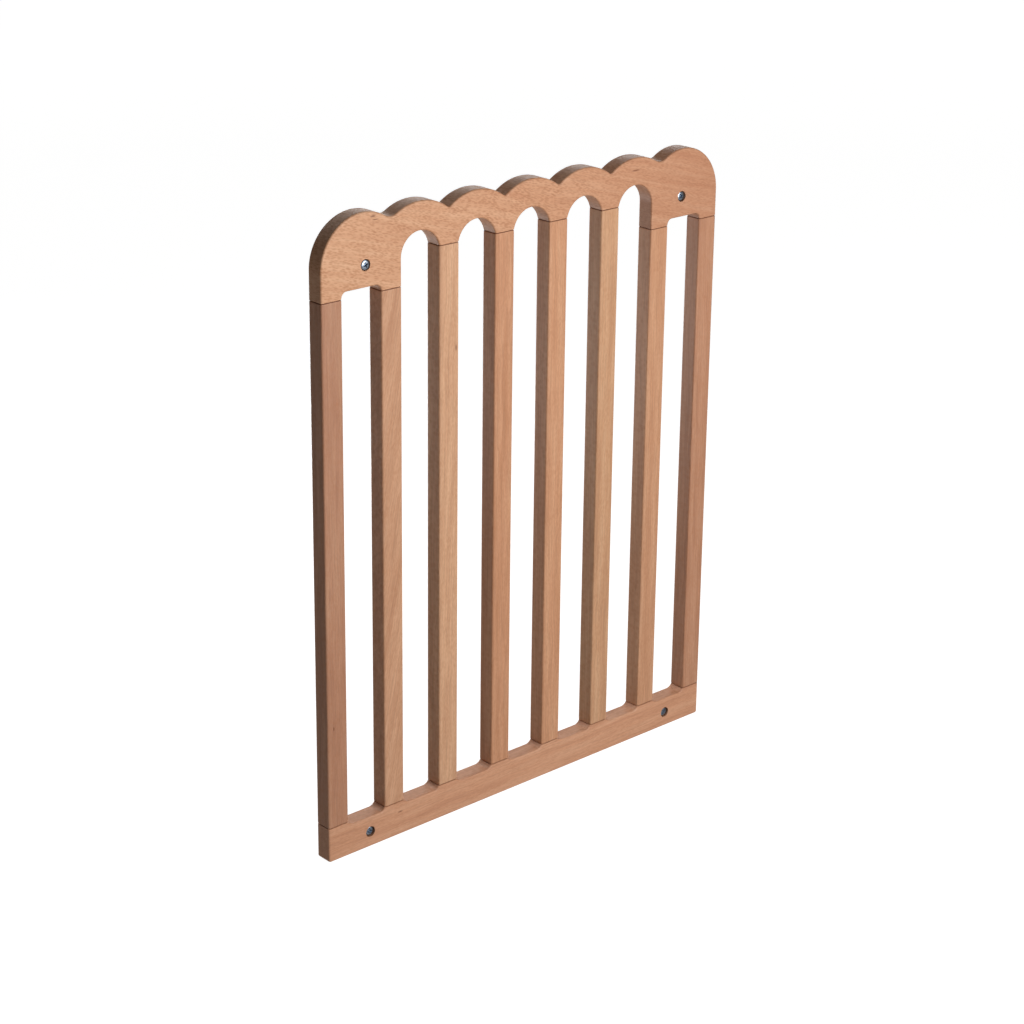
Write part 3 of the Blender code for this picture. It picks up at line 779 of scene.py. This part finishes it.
def make_stage():
    """A pale floor 3.6 m in radius, its rim swept up through a 1.2 m quarter circle into a wall."""
    bend = np.linspace(0.0, pi / 2, 13)
    radii = np.concatenate([[0.0, 1.2, 2.4], 3.6 + 1.2 * np.sin(bend), [4.8]])
    heights = np.concatenate([[0.0, 0.0, 0.0], 1.2 * (1 - np.cos(bend)), [4.0]])
    floor = grid_mesh("studio_floor", turned_points(radii, heights, (0, 0, 0), (0, 0, 1), 64), caps=False)
    floor.data.flip_normals()
    floor.data.shade_smooth()
    material, tree = new_tree("white_paper")
    shader = add(tree, "ShaderNodeBsdfPrincipled", {
        "Base Color": linear("#8c8c8b"),
        "Roughness": 0.9,
        "Specular IOR Level": 0.1,
        "Emission Color": linear("#ffffff"),
        "Emission Strength": 0.97,
    })
    floor.data.materials.append(surface(material, shader))
    # Its glow is for the eye only, so that it doesn't wash out the shaded sides of the slats
    floor.visible_diffuse = False
    floor.visible_glossy = False
    floor.visible_shadow = False


def softbox(name, place, target, width, height, power):
    """A rectangular lamp at a place, turned towards a target, which the camera doesn't see."""
    light = bpy.data.lights.new(name, "AREA")
    light.shape = "RECTANGLE"
    light.size = width
    light.size_y = height
    light.energy = power
    obj = bpy.data.objects.new(name, light)
    obj.location = place
    obj.rotation_euler = (Vector(target) - Vector(place)).to_track_quat("-Z", "Y").to_euler()
    obj.visible_camera = False
    bpy.context.scene.collection.objects.link(obj)


def make_studio():
    """A pale floor, soft lamps in front, behind and above, and the air round them."""
    make_stage()
    softbox("key_softbox", (0.3, -1.8, 0.96), (0.0, 0.0, 0.55), 1.2, 1.2, 37.0)
    softbox("back_softbox", (-0.15, 1.05, 0.17), (0.1, 0.0, 0.35), 0.5, 0.3, 6.0)
    softbox("crown_softbox", (0.0, 1.05, 1.05), (0.1, 0.0, 0.75), 0.6, 0.3, 3.4)
    softbox("bounce_card", (-0.7, -0.15, 0.015), (0.0, 0.0, 0.5), 1.2, 0.9, 0.3)
    softbox("rim_softbox", (1.2, 1.3, 1.24), (0.0, 0.0, 0.75), 1.5, 0.36, 7.5)
    # The air is dim overhead and at eye level and bright straight below, as above a white floor
    world = bpy.data.worlds.new("studio_air")
    world.use_nodes = True
    tree = world.node_tree
    tree.nodes.clear()
    where = add(tree, "ShaderNodeTexCoord")
    parts = add(tree, "ShaderNodeSeparateXYZ", {0: where.outputs["Generated"]})
    glow = add(tree, "ShaderNodeMapRange", {"Value": parts.outputs["Z"], "From Min": -0.75,
                                            "From Max": -0.1, "To Min": 0.52, "To Max": 0.08})
    air = add(tree, "ShaderNodeBackground", {"Color": linear("#f4f1ee"), "Strength": glow.outputs[0]})
    add(tree, "ShaderNodeOutputWorld", {"Surface": air.outputs[0]})
    bpy.context.scene.world = world
    bpy.context.scene.view_settings.view_transform = "Standard"


def make_camera():
    """Looks 18.8 degrees down at the panel from its front left, 42.3 degrees off its middle line."""
    across, down, roll = radians(42.274), radians(18.798), radians(0.637)
    direction = Vector((sin(across) * cos(down), cos(across) * cos(down), -sin(down)))
    camera = bpy.data.cameras.new("camera")
    camera.lens = 86.0
    camera.sensor_width = 36.0
    camera.shift_y = -0.0947
    obj = bpy.data.objects.new("camera", camera)
    turn = direction.to_track_quat("-Z", "Y").to_matrix() @ Matrix.Rotation(roll, 3, "Z")
    obj.matrix_world = Matrix.Translation((-1.8083, -1.9694, 1.3784)) @ turn.to_4x4()
    bpy.context.scene.collection.objects.link(obj)
    bpy.context.scene.camera = obj


make_rails()
make_slats()
make_dowels()
make_fasteners()
make_studio()
make_camera()
